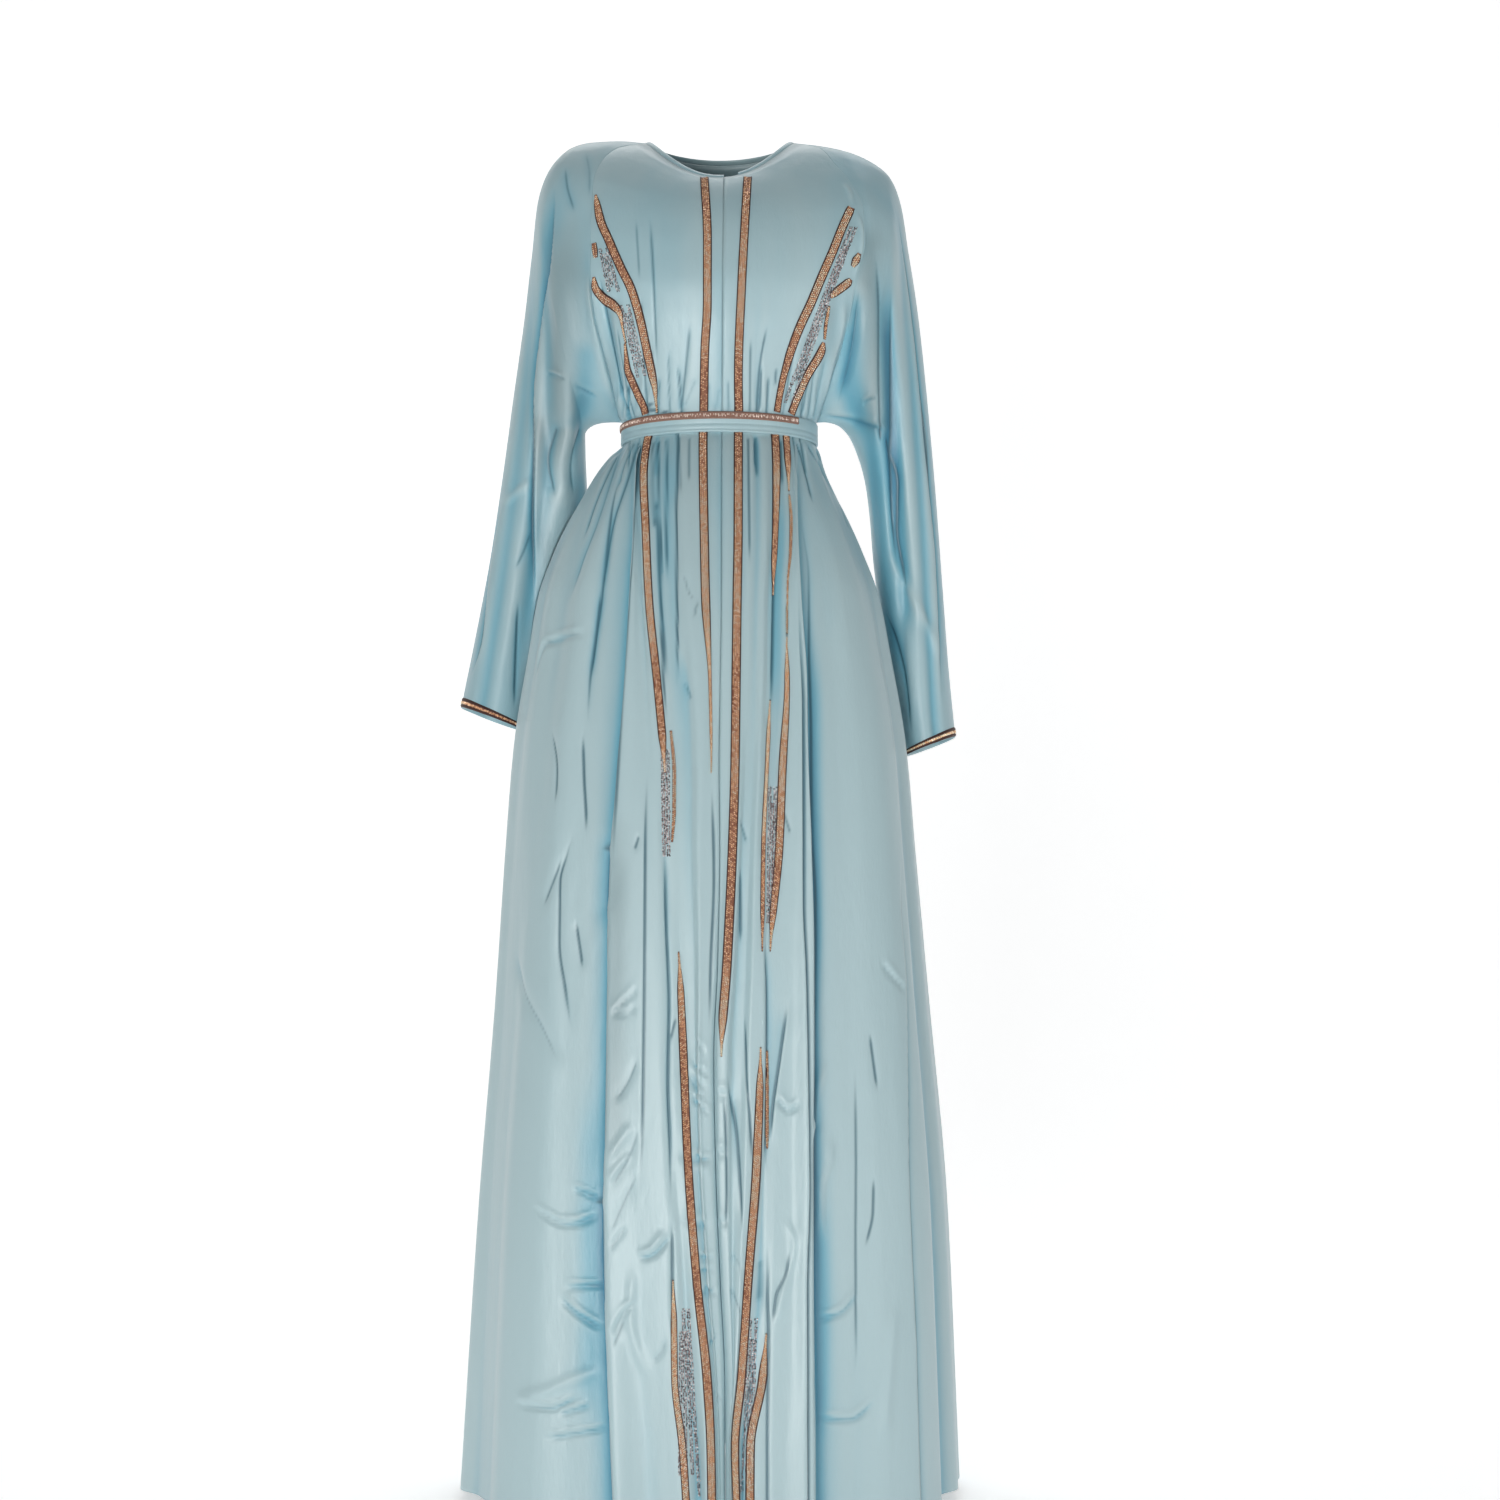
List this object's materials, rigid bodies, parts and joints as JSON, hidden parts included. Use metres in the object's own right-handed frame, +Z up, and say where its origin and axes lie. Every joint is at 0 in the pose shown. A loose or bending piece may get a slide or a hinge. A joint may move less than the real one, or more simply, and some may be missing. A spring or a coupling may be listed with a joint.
{
  "type": "abaya",
  "caption": "Long open-front gown of thin pale satin, worn and hollow: raglan sleeves, a narrow belt at the waist, and beaded braids down the fronts and round the cuffs.",
  "frame": {"origin": "middle of the neck opening, at the height where the gown lies on the shoulders beside the neck", "axes": "+Z up along the hanging gown, -Y out of its front, -X to the wearer's right"},
  "size_m": [0.576, 0.4828, 1.5187],
  "materials": {
    "pale_blue_satin": "soft satin sheen",
    "copper_braid": "beaded copper-coloured braid"
  },
  "bodies": {
    "root": {"front_right": "pale_blue_satin", "front_left": "pale_blue_satin", "back": "pale_blue_satin", "sleeve_right": "pale_blue_satin", "sleeve_left": "pale_blue_satin", "neck_binding": "pale_blue_satin", "belt": "pale_blue_satin", "belt_braid": "copper_braid", "cuff_braid_right": "copper_braid", "cuff_braid_left": "copper_braid", "centre_braid_right": "copper_braid", "centre_braid_left": "copper_braid", "bodice_braid_right_long": "copper_braid", "bodice_braid_right_middle": "copper_braid", "bodice_braid_right_low": "copper_braid", "bodice_braid_left_long": "copper_braid", "bodice_braid_left_top": "copper_braid", "bodice_braid_left_middle": "copper_braid", "bodice_braid_left_thin": "copper_braid", "bodice_braid_left_low": "copper_braid", "skirt_braid_right_upper": "copper_braid", "skirt_braid_right_lower": "copper_braid", "skirt_braid_right_outer": "copper_braid", "skirt_braid_left_upper": "copper_braid", "skirt_braid_left_middle": "copper_braid", "skirt_braid_left_lower": "copper_braid", "skirt_braid_left_outer_upper": "copper_braid", "skirt_braid_left_outer": "copper_braid", "skirt_braid_left_outer_lower": "copper_braid"}
  },
  "joints": []
}
